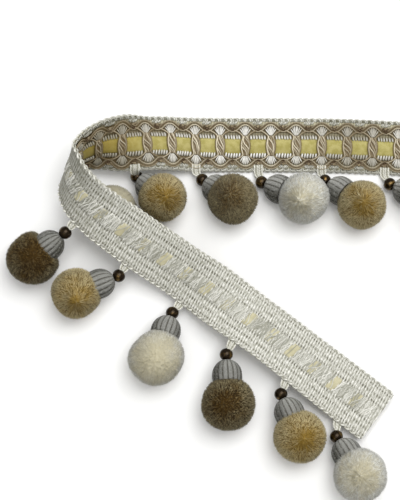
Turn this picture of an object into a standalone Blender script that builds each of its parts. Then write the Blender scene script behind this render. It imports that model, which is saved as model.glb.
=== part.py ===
"""Braid trim with pompom tassels: a cut length of woven heading laid out with one standing turn in it.

The heading is a cream woven band with a velvet ribbon threaded along its face, two scalloped
cords beside the ribbon and bars that cross over it. Along one edge hang thread loops, each with
a bead, a ribbed silk skirt and a cut-pile pompom. One arm lies face up, then the band lifts,
turns over and comes back face down over one of its own pompoms.

Positions along the trim are counted in bars: bar 0 is in the turn, negative bars are on the arm
that lies face up. Across the trim, w runs from the pompom edge (negative) to the plain edge.
"""

import math

import bmesh
import bpy
import numpy as np
from mathutils import Vector

MM = 0.001

# Driving sizes of the heading, in millimetres.
BRAID_WIDTH = 25.0
BAR_PITCH = 11.5
BAND_THICK = 1.0
GAP = 0.3
RIBBON_WIDTH = 7.4
RIBBON_THICK = 1.0
CORD_WIDTH = 2.2
CORD_THICK = 1.8
CORD_PEAK = 10.1
CORD_VALLEY = 6.2
CORD_ARCH = 0.8
CORD_STEPS = 6
CORD_SIDES = 5
BAR_TOP = 3.2
FIRST_BAR = -12
LAST_BAR = 17
FIRST_END = -12.75
LAST_END = 17.1
FACE = BAND_THICK / 2 + GAP

# Where the strips take rows of points, in bars: the trim turns between these two.
TURN_START = -4.5
TURN_END = 7.0
FLAT_STEP = 1.0
TURN_STEP = 0.25
BACK_STEP = 0.5

# Driving sizes of a tassel, in millimetres.
HANGER_HALF_WIDTH = 1.9
HANGER_RADIUS = 0.6
HANGER_STEPS = 7
HANGER_SIDES = 5
BEAD_RADIUS = 2.9
BEAD_HALF_LENGTH = 2.6
BEAD_SIDES = 8
# Columns: share of the half length, share of the radius.
BEAD_PROFILE = ((-1.0, 0.4), (-0.72, 0.8), (0.0, 1.0), (0.72, 0.8), (1.0, 0.4))
SKIRT_LENGTH = 8.6
SKIRT_RADIUS = 6.4
SKIRT_RIBS = 12
SKIRT_GROOVE = 0.93
# Columns: share of the length from the bead, share of the radius.
SKIRT_PROFILE = ((0.0, 0.32), (0.13, 0.62), (0.36, 0.89), (0.68, 1.0), (1.0, 0.96))
POMPOM_SIDES = 14
POMPOM_RINGS = 6
POMPOM_SINK = 0.4
POMPOM_UNEVEN = 0.03
POMPOM_CLEAR = 0.5
PRESS_STEP = 0.15
DIMPLE_RADIUS = 6.9
DIMPLE_RIM = 8.0

# The box that the laid-out trim fills is centred on the origin by this shift, in millimetres.
CENTRE_X = 14.85
CENTRE_Y = -25.73

# The route of the heading's middle, in millimetres, and where its width points, in degrees.
# Columns: bar, x, y, z, bearing of the width direction, its rise above the horizontal.
ROUTE = (
    (-12.75, 97.5, 46.5, 0.5, 86, 0),
    (-10, 66.0, 48.0, 0.5, 88, 0),
    (-7, 31.5, 48.5, 0.5, 90, 0),
    (-6, 20.0, 48.5, 0.5, 90, 0),
    (-5, 8.5, 48.5, 0.8, 91, 0),
    (-4, -2.8, 48.2, 2.3, 92, -1),
    (-3, -13.6, 47.8, 5.8, 94, -3),
    (-2, -24.3, 46.9, 9.5, 95, -2),
    (-1, -35.3, 45.8, 12.8, 92, 28),
    (0, -45.8, 43.6, 16.4, 87, 53),
    (1, -54.4, 37.6, 21.0, 72, 60),
    (1.5, -57.5, 33.6, 23.3, 56, 60),
    (2, -56.8, 28.2, 25.6, 40, 56),
    (3, -51.6, 18.4, 27.2, 36, 44),
    (4, -43.2, 10.8, 25.0, 41, 35),
    (5, -34.3, 5.0, 21.0, 46, 29),
    (6, -25.2, -1.0, 17.4, 49, 26),
    (7, -15.7, -6.9, 14.2, 50, 27),
    (8, -6.3, -12.8, 11.3, 50, 28),
    (9, 3.1, -19.2, 9.6, 52, 17),
    (10, 12.2, -26.0, 9.2, 53, 0),
    (11, 21.5, -32.8, 9.4, 54, -9),
    (12, 30.8, -39.6, 9.2, 54, -11),
    (13.5, 44.4, -50.0, 7.6, 54.5, -9),
    (15, 57.9, -60.3, 5.4, 54, -4),
    (17.1, 77.1, -75.0, 4.0, 52, 0),
)

# One row for each tassel, in millimetres.
# Columns: bar, colour, pompom x, pompom y, pompom radius, bead x, bead y, bead z.
TASSELS = (
    (-11.5, "brown", 103.5, 19.5, 11.5, 85.1, 29.4, 3.4),
    (-9, "gold", 71.9, 18.1, 11.2, 56.0, 31.0, 3.4),
    (-6.5, "white", 46.0, 20.9, 11.7, 27.6, 30.3, 3.4),
    (-4, "brown", 14.4, 20.6, 11.6, 1.0, 31.4, 3.4),
    (-1.5, "gold", -16.6, 21.7, 11.0, -28.4, 32.8, 3.6),
    (1, "white", -39.2, 15.8, 11.4, -53.2, 28.0, 7.6),
    (3.5, "brown", -73.2, -5.9, 12.0, -58.9, 4.4, 16.0),
    (6, "gold", -54.2, -21.7, 11.4, -35.6, -13.7, 10.2),
    (8.5, "white", -19.0, -50.0, 12.5, -12.2, -29.4, 5.2),
    (11, "brown", 12.2, -70.0, 11.9, 11.4, -48.4, 9.6),
    (13.5, "gold", 42.8, -84.0, 11.6, 35.0, -65.4, 8.0),
    (16, "white", 68.2, -100.5, 11.9, 59.0, -83.4, 4.4),
)

# Base colours, linear red, green, blue, with a roughness.
FINISH = {
    "cream": ((0.70, 0.66, 0.55), 0.6),
    "taupe": ((0.30, 0.24, 0.16), 0.55),
    "velvet": ((0.52, 0.42, 0.17), 0.8),
    "bronze": ((0.10, 0.07, 0.04), 0.35),
    "silver": ((0.33, 0.32, 0.29), 0.45),
    "gold": ((0.45, 0.33, 0.12), 0.9),
    "white": ((0.70, 0.66, 0.54), 0.9),
    "brown": ((0.20, 0.14, 0.07), 0.9),
}


def clear_scene():
    for obj in list(bpy.data.objects):
        bpy.data.objects.remove(obj)


def material(name):
    found = bpy.data.materials.get(name)
    if found:
        return found
    colour, roughness = FINISH[name]
    made = bpy.data.materials.new(name)
    made.use_nodes = True
    shader = made.node_tree.nodes["Principled BSDF"]
    shader.inputs["Base Color"].default_value = (*colour, 1.0)
    shader.inputs["Roughness"].default_value = roughness
    shader.inputs["Metallic"].default_value = 0.8 if name == "bronze" else 0.0
    return made


def add_object(name, points, faces, finish):
    """A closed mesh from points in millimetres, with its faces turned outward."""
    mesh = bpy.data.meshes.new(name)
    shift = np.array([CENTRE_X, CENTRE_Y, 0.0])
    placed = (np.array(points, float) - shift) * MM
    mesh.from_pydata([tuple(p) for p in placed], [], [tuple(f) for f in faces])
    tidy = bmesh.new()
    tidy.from_mesh(mesh)
    bmesh.ops.recalc_face_normals(tidy, faces=tidy.faces)
    tidy.to_mesh(mesh)
    tidy.free()
    mesh.materials.append(material(finish))
    mesh.shade_smooth()
    mesh.set_sharp_from_angle(angle=math.radians(50))
    obj = bpy.data.objects.new(name, mesh)
    bpy.context.collection.objects.link(obj)
    return obj


class Heading:
    """The route as a frame at any bar: middle, along, across (to the plain edge) and front."""

    def __init__(self):
        table = np.array(ROUTE, float)
        bearing = np.radians(table[:, 4])
        rise = np.radians(table[:, 5])
        across = np.stack(
            [np.cos(bearing) * np.cos(rise), np.sin(bearing) * np.cos(rise), np.sin(rise)], axis=1
        )
        fine = np.arange(table[0, 0], table[-1, 0] + 1e-9, 0.05)
        middle = self.smooth(table[:, 0], table[:, 1:4], fine)
        middle[:, 2] = np.maximum(middle[:, 2], BAND_THICK / 2)
        across = self.smooth(table[:, 0], across, fine)
        steps = np.linalg.norm(np.diff(middle, axis=0), axis=1)
        length = np.concatenate([[0.0], np.cumsum(steps)])
        start = np.interp(0.0, fine, length)
        along = np.gradient(middle, axis=0)
        along /= np.linalg.norm(along, axis=1)[:, None]
        across -= (across * along).sum(axis=1)[:, None] * along
        across /= np.linalg.norm(across, axis=1)[:, None]
        self.length = length - start
        self.middle = middle
        self.along = along
        self.across = across

    @staticmethod
    def smooth(knots, values, at):
        """Cubic pieces through the values, with slopes from the neighbours on both sides."""
        width = np.diff(knots)[:, None]
        slope = np.diff(values, axis=0) / width
        tangent = np.empty_like(values)
        tangent[0] = slope[0]
        tangent[-1] = slope[-1]
        share = width[:-1] / (width[:-1] + width[1:])
        tangent[1:-1] = slope[:-1] * (1 - share) + slope[1:] * share
        piece = np.clip(np.searchsorted(knots, at, side="right") - 1, 0, len(knots) - 2)
        u = ((at - knots[piece]) / width[piece, 0])[:, None]
        h = width[piece]
        return (
            values[piece] * (2 * u**3 - 3 * u**2 + 1)
            + tangent[piece] * h * (u**3 - 2 * u**2 + u)
            + values[piece + 1] * (3 * u**2 - 2 * u**3)
            + tangent[piece + 1] * h * (u**3 - u**2)
        )

    def frame(self, bar):
        """Middle, along, across and front at a bar."""
        s = bar * BAR_PITCH
        middle = np.array([np.interp(s, self.length, self.middle[:, i]) for i in range(3)])
        along = np.array([np.interp(s, self.length, self.along[:, i]) for i in range(3)])
        across = np.array([np.interp(s, self.length, self.across[:, i]) for i in range(3)])
        along /= np.linalg.norm(along)
        across -= across @ along * along
        across /= np.linalg.norm(across)
        front = np.cross(across, along)
        return middle, along, across, front

    def point(self, bar, w, h):
        """A point w across and h in front of the heading's middle surface."""
        middle, _, across, front = self.frame(bar)
        return middle + w * across + h * front


def strip_bars():
    """Bars where the flat strips take a row of points: close together where the trim turns."""
    flat = np.arange(FIRST_END, TURN_START, FLAT_STEP)
    turn = np.arange(TURN_START, TURN_END, TURN_STEP)
    back = np.arange(TURN_END, LAST_END, BACK_STEP)
    return np.concatenate([flat, turn, back, [LAST_END]])


def strip_mesh(heading, half_width, low, high, divisions):
    """A strip of even thickness that follows the heading, as points and faces."""
    bars = strip_bars()
    columns = np.linspace(-half_width, half_width, divisions + 1)
    ring = [(w, high) for w in columns] + [(w, low) for w in columns[::-1]]
    points = []
    for bar in bars:
        middle, _, across, front = heading.frame(bar)
        points.extend(middle + w * across + h * front for w, h in ring)
    faces = tube_faces(len(bars), len(ring))
    return points, faces


def tube_faces(rings, sides):
    """Quads between rings of points, with a face over each end."""
    faces = []
    for i in range(rings - 1):
        for j in range(sides):
            k = (j + 1) % sides
            faces.append((i * sides + j, i * sides + k, (i + 1) * sides + k, (i + 1) * sides + j))
    faces.append(tuple(range(sides)))
    faces.append(tuple(range((rings - 1) * sides, rings * sides)))
    return faces


def ring_around(centre, direction, sides, radii):
    """Points round a direction, with one radius for all of them or one for each."""
    axis = Vector(direction).normalized()
    side = np.array(axis.orthogonal().normalized())
    other = np.cross(np.array(axis), side)
    turn = 2 * math.pi * np.arange(sides) / sides
    radii = np.broadcast_to(radii, sides)
    return [centre + r * (math.cos(a) * side + math.sin(a) * other) for a, r in zip(turn, radii)]


def make_band(heading):
    points, faces = strip_mesh(heading, BRAID_WIDTH / 2, -BAND_THICK / 2, BAND_THICK / 2, 6)
    add_object("band", points, faces, "cream")


def make_ribbon(heading):
    points, faces = strip_mesh(heading, RIBBON_WIDTH / 2, FACE, FACE + RIBBON_THICK, 2)
    add_object("ribbon", points, faces, "velvet")


def cord_across(phase):
    """How far from the middle a scalloped cord runs: an arch over each bar, a cusp between."""
    arch = abs(math.cos(math.pi * phase)) ** CORD_ARCH
    return CORD_VALLEY + (CORD_PEAK - CORD_VALLEY) * arch


def flat_cord(side):
    """One scalloped cord along the straight trim: s along, w across and h in front."""
    points = []
    first = math.floor(FIRST_END * CORD_STEPS)
    last = math.floor(LAST_END * CORD_STEPS)
    phases = np.arange(first, last + 1) / CORD_STEPS
    phases = np.clip(phases, FIRST_END, LAST_END)
    for phase in phases:
        w = side * cord_across(phase)
        for j in range(CORD_SIDES):
            turn = 2 * math.pi * (j + 0.25) / CORD_SIDES
            h = FACE + CORD_THICK / 2 * (1 + math.sin(turn))
            points.append((phase * BAR_PITCH, w + CORD_WIDTH / 2 * math.cos(turn), h))
    return points, tube_faces(len(phases), CORD_SIDES)


def flat_bar(bar):
    """One bar with the thread fans at its ends: a lens over the ribbon that spreads to the cords."""
    over = FACE + RIBBON_THICK + GAP
    edge = RIBBON_WIDTH / 2 + GAP
    fan = CORD_PEAK - CORD_WIDTH / 4
    # Columns: across, half width, underside, top.
    half = (
        (fan, 2.7, FACE, FACE + 0.8),
        (7.2, 2.2, FACE, FACE + 0.9),
        (5.4, 0.9, FACE, FACE + 1.5),
        (edge, 1.6, over, BAR_TOP - 0.3),
        (0.0, 2.3, over, BAR_TOP),
    )
    rows = [(-w, *rest) for w, *rest in half] + list(half[-2::-1])
    points = []
    for w, half_width, under, top in rows:
        crest = 0.55 * half_width
        section = ((-half_width, under), (-crest, top), (crest, top), (half_width, under))
        points.extend((bar * BAR_PITCH + s, w, h) for s, h in section)
    return points, tube_faces(len(rows), 4)


def scratch_object(name, shapes):
    """Shapes in the straight trim's own space, in millimetres, as one mesh for a Boolean."""
    mesh = bpy.data.meshes.new(name)
    points = []
    faces = []
    for shape_points, shape_faces in shapes:
        start = len(points)
        points.extend(shape_points)
        faces.extend(tuple(start + i for i in face) for face in shape_faces)
    mesh.from_pydata([tuple(p) for p in points], [], faces)
    tidy = bmesh.new()
    tidy.from_mesh(mesh)
    bmesh.ops.recalc_face_normals(tidy, faces=tidy.faces)
    tidy.to_mesh(mesh)
    tidy.free()
    obj = bpy.data.objects.new(name, mesh)
    bpy.context.collection.objects.link(obj)
    return obj


def make_gimp(heading):
    """Cords and bars joined on the straight trim, then laid on the turned one."""
    cords = scratch_object("flat_cords", [flat_cord(-1), flat_cord(1)])
    bars = scratch_object("flat_bars", [flat_bar(bar) for bar in range(FIRST_BAR, LAST_BAR + 1)])
    union = cords.modifiers.new("join", "BOOLEAN")
    union.operation = "UNION"
    union.object = bars
    bpy.context.view_layer.update()
    joined = cords.evaluated_get(bpy.context.evaluated_depsgraph_get()).to_mesh()
    points = []
    for vertex in joined.vertices:
        s, w, h = vertex.co
        points.append(heading.point(s / BAR_PITCH, w, h))
    faces = [tuple(face.vertices) for face in joined.polygons]
    bpy.data.objects.remove(cords)
    bpy.data.objects.remove(bars)
    add_object("gimp", points, faces, "taupe")


class Tassel:
    """Where one tassel's bead, skirt and pompom are, worked out from its row."""

    def __init__(self, number, row):
        bar, colour, x, y, radius, bead_x, bead_y, bead_z = row
        self.number = number
        self.bar = bar
        self.colour = colour
        self.radius = radius
        self.centre = np.array([x, y, radius - POMPOM_SINK])
        self.bead = np.array([bead_x, bead_y, bead_z])
        reach = self.centre - self.bead
        self.axis = reach / np.linalg.norm(reach)
        self.neck = self.bead + self.axis * (BEAD_HALF_LENGTH + GAP)
        self.mouth = self.neck + self.axis * SKIRT_LENGTH
        self.seat = (self.centre - self.mouth) @ self.axis - GAP

    def name(self, piece):
        return f"{piece}_{self.number:02d}"


def make_hanger(heading, tassel):
    """A thread loop: half an oval from the heading's edge down to the bead."""
    middle, along, across, _ = heading.frame(tassel.bar)
    root = middle - across * (BRAID_WIDTH / 2 + 2 * GAP)
    reach = tassel.bead - root
    drop = reach * (1 - (BEAD_RADIUS + GAP + HANGER_RADIUS) / np.linalg.norm(reach))
    points = []
    for i in range(HANGER_STEPS + 1):
        turn = math.pi * i / HANGER_STEPS
        centre = root - along * HANGER_HALF_WIDTH * math.cos(turn) + drop * math.sin(turn)
        heading_on = along * HANGER_HALF_WIDTH * math.sin(turn) + drop * math.cos(turn)
        points.extend(ring_about(centre, heading_on, np.cross(along, drop), HANGER_SIDES, HANGER_RADIUS))
    add_object(tassel.name("hanger"), points, tube_faces(HANGER_STEPS + 1, HANGER_SIDES), "cream")


def ring_about(centre, direction, flat_normal, sides, radius):
    """A ring square to a direction that stays in the plane of a flat curve."""
    up = flat_normal / np.linalg.norm(flat_normal)
    side = np.cross(direction, up)
    side /= np.linalg.norm(side)
    turn = 2 * math.pi * np.arange(sides) / sides
    return [centre + radius * (math.cos(a) * side + math.sin(a) * up) for a in turn]


def make_bead(tassel):
    points = []
    for place, size in BEAD_PROFILE:
        centre = tassel.bead + tassel.axis * place * BEAD_HALF_LENGTH
        points.extend(ring_around(centre, tassel.axis, BEAD_SIDES, size * BEAD_RADIUS))
    add_object(tassel.name("bead"), points, tube_faces(len(BEAD_PROFILE), BEAD_SIDES), "bronze")


def make_skirt(tassel):
    """A bell of ribs that opens towards the pompom."""
    ribs = np.where(np.arange(2 * SKIRT_RIBS) % 2 == 0, 1.0, SKIRT_GROOVE)
    points = []
    for place, size in SKIRT_PROFILE:
        centre = tassel.neck + tassel.axis * place * SKIRT_LENGTH
        points.extend(ring_around(centre, tassel.axis, 2 * SKIRT_RIBS, size * SKIRT_RADIUS * ribs))
    faces = tube_faces(len(SKIRT_PROFILE), 2 * SKIRT_RIBS)
    add_object(tassel.name("skirt"), points, faces, "silver")


def capsule_depth(point, start, end, radius):
    """How far a point is inside a round-ended rod."""
    reach = end - start
    share = np.clip((point - start) @ reach / (reach @ reach), 0.0, 1.0)
    return radius - np.linalg.norm(point - start - share * reach)


class Neighbours:
    """What a pompom is pressed in by: the other tassels and the heading."""

    STEP = 0.1

    def __init__(self, heading, tassels):
        self.tassels = tassels
        bars = np.arange(FIRST_END, LAST_END, self.STEP)
        frames = [heading.frame(bar) for bar in bars]
        self.middle, self.along, self.across, self.front = (np.array(part) for part in zip(*frames))

    def meets(self, own, point):
        offset = point - self.middle
        close = abs((offset * self.along).sum(axis=1)) < self.STEP * BAR_PITCH
        inside = abs((offset * self.across).sum(axis=1)) < BRAID_WIDTH / 2 + POMPOM_CLEAR
        height = (offset * self.front).sum(axis=1)
        behind = height > -BAND_THICK / 2 - POMPOM_CLEAR
        if (close & inside & behind & (height < BAR_TOP + POMPOM_CLEAR)).any():
            return True
        for other in self.tassels:
            if other is own:
                continue
            if capsule_depth(point, other.bead, other.mouth, SKIRT_RADIUS + POMPOM_CLEAR) > 0:
                return True
            past_own = np.linalg.norm(point - own.centre) - own.radius
            past_other = np.linalg.norm(point - other.centre) - other.radius
            if past_other < min(past_own + POMPOM_CLEAR, POMPOM_CLEAR):
                return True
        return False


def make_pompom(tassel, neighbours):
    """An uneven ball with a seat for its skirt, pressed in by its neighbours and the floor."""
    random = np.random.default_rng(40 + tassel.number)
    up = Vector(tassel.axis).orthogonal().normalized()
    side = np.array(up)
    other = np.cross(tassel.axis, side)
    rim = math.asin(DIMPLE_RIM / tassel.radius)
    angles = [math.radians(179.8)] + list(np.linspace(math.radians(167), rim, POMPOM_RINGS))
    lift = random.uniform(-POMPOM_UNEVEN, POMPOM_UNEVEN, (len(angles), POMPOM_SIDES))
    points = []
    for ring, angle in enumerate(angles):
        for j in range(POMPOM_SIDES):
            turn = 2 * math.pi * (j + 0.5 * (ring % 2)) / POMPOM_SIDES
            out = math.sin(angle) * (math.cos(turn) * side + math.sin(turn) * other)
            direction = out - math.cos(angle) * tassel.axis
            reach = tassel.radius * (1 + lift[ring, j])
            while neighbours.meets(tassel, tassel.centre + reach * direction):
                reach -= PRESS_STEP
            points.append(tassel.centre + reach * direction)
    seat = tassel.centre - tassel.axis * tassel.seat
    for j in range(POMPOM_SIDES):
        turn = 2 * math.pi * (j + 0.5 * (len(angles) % 2)) / POMPOM_SIDES
        points.append(seat + DIMPLE_RADIUS * (math.cos(turn) * side + math.sin(turn) * other))
    points = np.array(points)
    points[:, 2] = np.maximum(points[:, 2], 0.0)
    faces = tube_faces(len(angles) + 1, POMPOM_SIDES)
    add_object(tassel.name("pompom"), points, faces, tassel.colour)


def main():
    clear_scene()
    heading = Heading()
    make_band(heading)
    make_ribbon(heading)
    make_gimp(heading)
    tassels = [Tassel(number + 1, row) for number, row in enumerate(TASSELS)]
    neighbours = Neighbours(heading, tassels)
    for tassel in tassels:
        make_hanger(heading, tassel)
        make_bead(tassel)
        make_skirt(tassel)
        make_pompom(tassel, neighbours)


main()
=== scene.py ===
"""Looks of the braid trim: woven band, velvet ribbon, gimp cords and bars, picot edges and tassels.

The heading's details are made on a straight trim, as s along, w across and h in front of its
middle, and are then laid on the same route as the solids. Lengths are in millimetres until a
mesh is written. Each point carries three marks that its material reads.
"""

import math

import bmesh
import bpy
import numpy as np
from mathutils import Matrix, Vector


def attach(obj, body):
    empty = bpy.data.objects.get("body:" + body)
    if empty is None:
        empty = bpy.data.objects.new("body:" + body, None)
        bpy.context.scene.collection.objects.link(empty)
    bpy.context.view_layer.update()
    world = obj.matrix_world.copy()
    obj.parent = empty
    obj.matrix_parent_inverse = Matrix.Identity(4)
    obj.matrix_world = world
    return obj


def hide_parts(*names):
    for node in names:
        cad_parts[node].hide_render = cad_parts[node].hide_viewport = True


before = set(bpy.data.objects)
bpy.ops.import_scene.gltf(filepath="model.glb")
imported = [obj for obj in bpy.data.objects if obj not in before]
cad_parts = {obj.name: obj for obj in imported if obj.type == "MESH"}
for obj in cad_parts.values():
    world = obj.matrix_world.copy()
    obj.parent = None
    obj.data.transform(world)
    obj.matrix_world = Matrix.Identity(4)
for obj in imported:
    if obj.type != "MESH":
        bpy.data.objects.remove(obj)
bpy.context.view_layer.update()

MM = 0.001

# Sizes of the heading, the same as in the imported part.
BRAID_HALF = 12.5
BAR_PITCH = 11.5
BAND_THICK = 1.0
GAP = 0.3
FACE = BAND_THICK / 2 + GAP
BAR_TOP = 3.2
FIRST_BAR = -12
LAST_BAR = 17
FIRST_END = -12.75
LAST_END = 17.1
CENTRE = np.array([14.85, -25.73, 0.0])

# The route of the heading's middle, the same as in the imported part.
# Columns: bar, x, y, z, bearing of the width direction, its rise above the horizontal.
ROUTE = (
    (-12.75, 97.5, 46.5, 0.5, 86, 0),
    (-10, 66.0, 48.0, 0.5, 88, 0),
    (-7, 31.5, 48.5, 0.5, 90, 0),
    (-6, 20.0, 48.5, 0.5, 90, 0),
    (-5, 8.5, 48.5, 0.8, 91, 0),
    (-4, -2.8, 48.2, 2.3, 92, -1),
    (-3, -13.6, 47.8, 5.8, 94, -3),
    (-2, -24.3, 46.9, 9.5, 95, -2),
    (-1, -35.3, 45.8, 12.8, 92, 28),
    (0, -45.8, 43.6, 16.4, 87, 53),
    (1, -54.4, 37.6, 21.0, 72, 60),
    (1.5, -57.5, 33.6, 23.3, 56, 60),
    (2, -56.8, 28.2, 25.6, 40, 56),
    (3, -51.6, 18.4, 27.2, 36, 44),
    (4, -43.2, 10.8, 25.0, 41, 35),
    (5, -34.3, 5.0, 21.0, 46, 29),
    (6, -25.2, -1.0, 17.4, 49, 26),
    (7, -15.7, -6.9, 14.2, 50, 27),
    (8, -6.3, -12.8, 11.3, 50, 28),
    (9, 3.1, -19.2, 9.6, 52, 17),
    (10, 12.2, -26.0, 9.2, 53, 0),
    (11, 21.5, -32.8, 9.4, 54, -9),
    (12, 30.8, -39.6, 9.2, 54, -11),
    (13.5, 44.4, -50.0, 7.6, 54.5, -9),
    (15, 57.9, -60.3, 5.4, 54, -4),
    (17.1, 77.1, -75.0, 4.0, 52, 0),
)

# One row for each tassel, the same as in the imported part.
# Columns: bar, colour, pompom x, pompom y, pompom radius, bead x, bead y, bead z.
TASSELS = (
    (-11.5, "brown", 103.5, 19.5, 11.5, 85.1, 29.4, 3.4),
    (-9, "gold", 71.9, 18.1, 11.2, 56.0, 31.0, 3.4),
    (-6.5, "white", 46.0, 20.9, 11.7, 27.6, 30.3, 3.4),
    (-4, "brown", 14.4, 20.6, 11.6, 1.0, 31.4, 3.4),
    (-1.5, "gold", -16.6, 21.7, 11.0, -28.4, 32.8, 3.6),
    (1, "white", -39.2, 15.8, 11.4, -53.2, 28.0, 7.6),
    (3.5, "brown", -73.2, -5.9, 12.0, -58.9, 4.4, 16.0),
    (6, "gold", -54.2, -21.7, 11.4, -35.6, -13.7, 10.2),
    (8.5, "white", -19.0, -50.0, 12.5, -12.2, -29.4, 5.2),
    (11, "brown", 12.2, -70.0, 11.9, 11.4, -48.4, 9.6),
    (13.5, "gold", 42.8, -84.0, 11.6, 35.0, -65.4, 8.0),
    (16, "white", 68.2, -100.5, 11.9, 59.0, -83.4, 4.4),
)
BEAD_RADIUS = 2.9
BEAD_HALF_LENGTH = 2.6
SKIRT_LENGTH = 8.6
SKIRT_RADIUS = 6.4
POMPOM_SINK = 0.4

# The bars, and the middle of each space between two of them.
BARS = range(FIRST_BAR, LAST_BAR + 1)
SPACES = [(bar + 0.5) * BAR_PITCH for bar in range(FIRST_BAR - 1, LAST_BAR + 1)]

# Where the turn is tightest on its inner and on its outer side, in bars.
TURN_INSIDE = -0.2
TURN_OUTSIDE = 1.2

# The gimp lies a little nearer to the pompoms than to the plain edge.
INNER_SHIFT = -0.45

# So do the ribbon and the bars over it: at these bars, this far from the middle.
RIBBON_PLACE = ((-12.7, -10.5, -6.0, -4.0, 0.0), (-0.8, -0.95, -1.0, -0.6, -0.4))
RIBBON_HALF = 3.65

# Weave of the band: width of a ridge, its slant, and how far the picot rope covers each edge.
RIDGE = BAR_PITCH / 9
RIDGE_SLANT = 0.14
ROPE_COVER = 0.55

# Rows of dark dashes on the back: distance from the middle, half width.
DASH_ROWS = ((4.3, 0.7), (7.3, 0.85), (10.3, 0.6))

# How far a step up the picture goes along Y and along Z, because the camera looks down aslant.
UP_Y = 0.979
UP_Z = 0.206

# The pile: height of a tuft, tufts on each pompom, and the least height of anything on the floor.
PILE = 2.3
TUFTS = 8700
FLOOR_CLEAR = 0.02


def smooth(knots, values, at):
    """Cubic pieces through the values, with slopes from the neighbours on both sides."""
    width = np.diff(knots)[:, None]
    slope = np.diff(values, axis=0) / width
    tangent = np.empty_like(values)
    tangent[0] = slope[0]
    tangent[-1] = slope[-1]
    share = width[:-1] / (width[:-1] + width[1:])
    tangent[1:-1] = slope[:-1] * (1 - share) + slope[1:] * share
    piece = np.clip(np.searchsorted(knots, at, side="right") - 1, 0, len(knots) - 2)
    u = ((at - knots[piece]) / width[piece, 0])[:, None]
    h = width[piece]
    return (
        values[piece] * (2 * u**3 - 3 * u**2 + 1)
        + tangent[piece] * h * (u**3 - 2 * u**2 + u)
        + values[piece + 1] * (3 * u**2 - 2 * u**3)
        + tangent[piece + 1] * h * (u**3 - u**2)
    )


def unit(rows):
    """Rows scaled to a length of one."""
    return rows / np.linalg.norm(rows, axis=-1, keepdims=True)


def limit(values):
    """Values kept between 0 and 1."""
    return np.clip(values, 0, 1)


def bell(values, centre, width):
    """One at the centre, falling away to nothing over about two widths."""
    return np.exp(-(((values - centre) / width) ** 2))


def grid(*parts):
    """Numbers, rows and columns as one array of points or marks."""
    return np.stack(np.broadcast_arrays(*parts), axis=-1)


def distances(path):
    """How far along a path each of its points is."""
    return np.append(0.0, np.cumsum(np.linalg.norm(np.diff(path, axis=0), axis=1)))


def whole(half):
    """A symmetric table from the rows of its one half, from end to middle."""
    half = np.array(half).T
    return np.concatenate([half * (-1, 1, 1), half[-2::-1]])


def taper(count, share, least):
    """A radius share along a strand that thins at both ends."""
    at = np.linspace(0, 1, count)
    return least + (1 - least) * np.sqrt(limit(np.minimum(at, 1 - at) / share))


class Heading:
    """The route as a frame at any bar: middle, along, across (to the plain edge) and front."""

    def __init__(self):
        table = np.array(ROUTE)
        bearing, rise = np.radians(table[:, 4:]).T
        across = grid(np.cos(bearing) * np.cos(rise), np.sin(bearing) * np.cos(rise), np.sin(rise))
        fine = np.arange(table[0, 0], table[-1, 0] + 1e-9, 0.05)
        middle = smooth(table[:, 0], table[:, 1:4], fine)
        middle[:, 2] = np.maximum(middle[:, 2], BAND_THICK / 2)
        across = smooth(table[:, 0], across, fine)
        length = distances(middle)
        along = unit(np.gradient(middle, axis=0))
        across -= (across * along).sum(axis=1)[:, None] * along
        self.length = length - np.interp(0.0, fine, length)
        self.middle = middle
        self.along = along
        self.across = unit(across)
        self.first = max(self.length[0], FIRST_END * BAR_PITCH)
        self.last = min(self.length[-1], LAST_END * BAR_PITCH)

    def frames(self, s):
        """Middle, along, across and front at distances along the trim."""
        s = np.atleast_1d(s)
        parts = []
        for rows in (self.middle, self.along, self.across):
            parts.append(grid(*(np.interp(s, self.length, column) for column in rows.T)))
        middle, along, across = parts
        along = unit(along)
        across = unit(across - (across * along).sum(axis=1)[:, None] * along)
        return middle, along, across, np.cross(across, along)

    def lay(self, flat):
        """Points of the straight trim, as rows of s, w and h, moved onto the route."""
        flat = np.asarray(flat, float)
        middle, _, across, front = self.frames(flat[:, 0])
        return middle + flat[:, 1:2] * across + flat[:, 2:3] * front

    def holds(self, s, margin):
        """Whether all of s lies more than the margin inside the two cut ends."""
        return self.first + margin < np.min(s) and np.max(s) < self.last - margin


heading = Heading()


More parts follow.
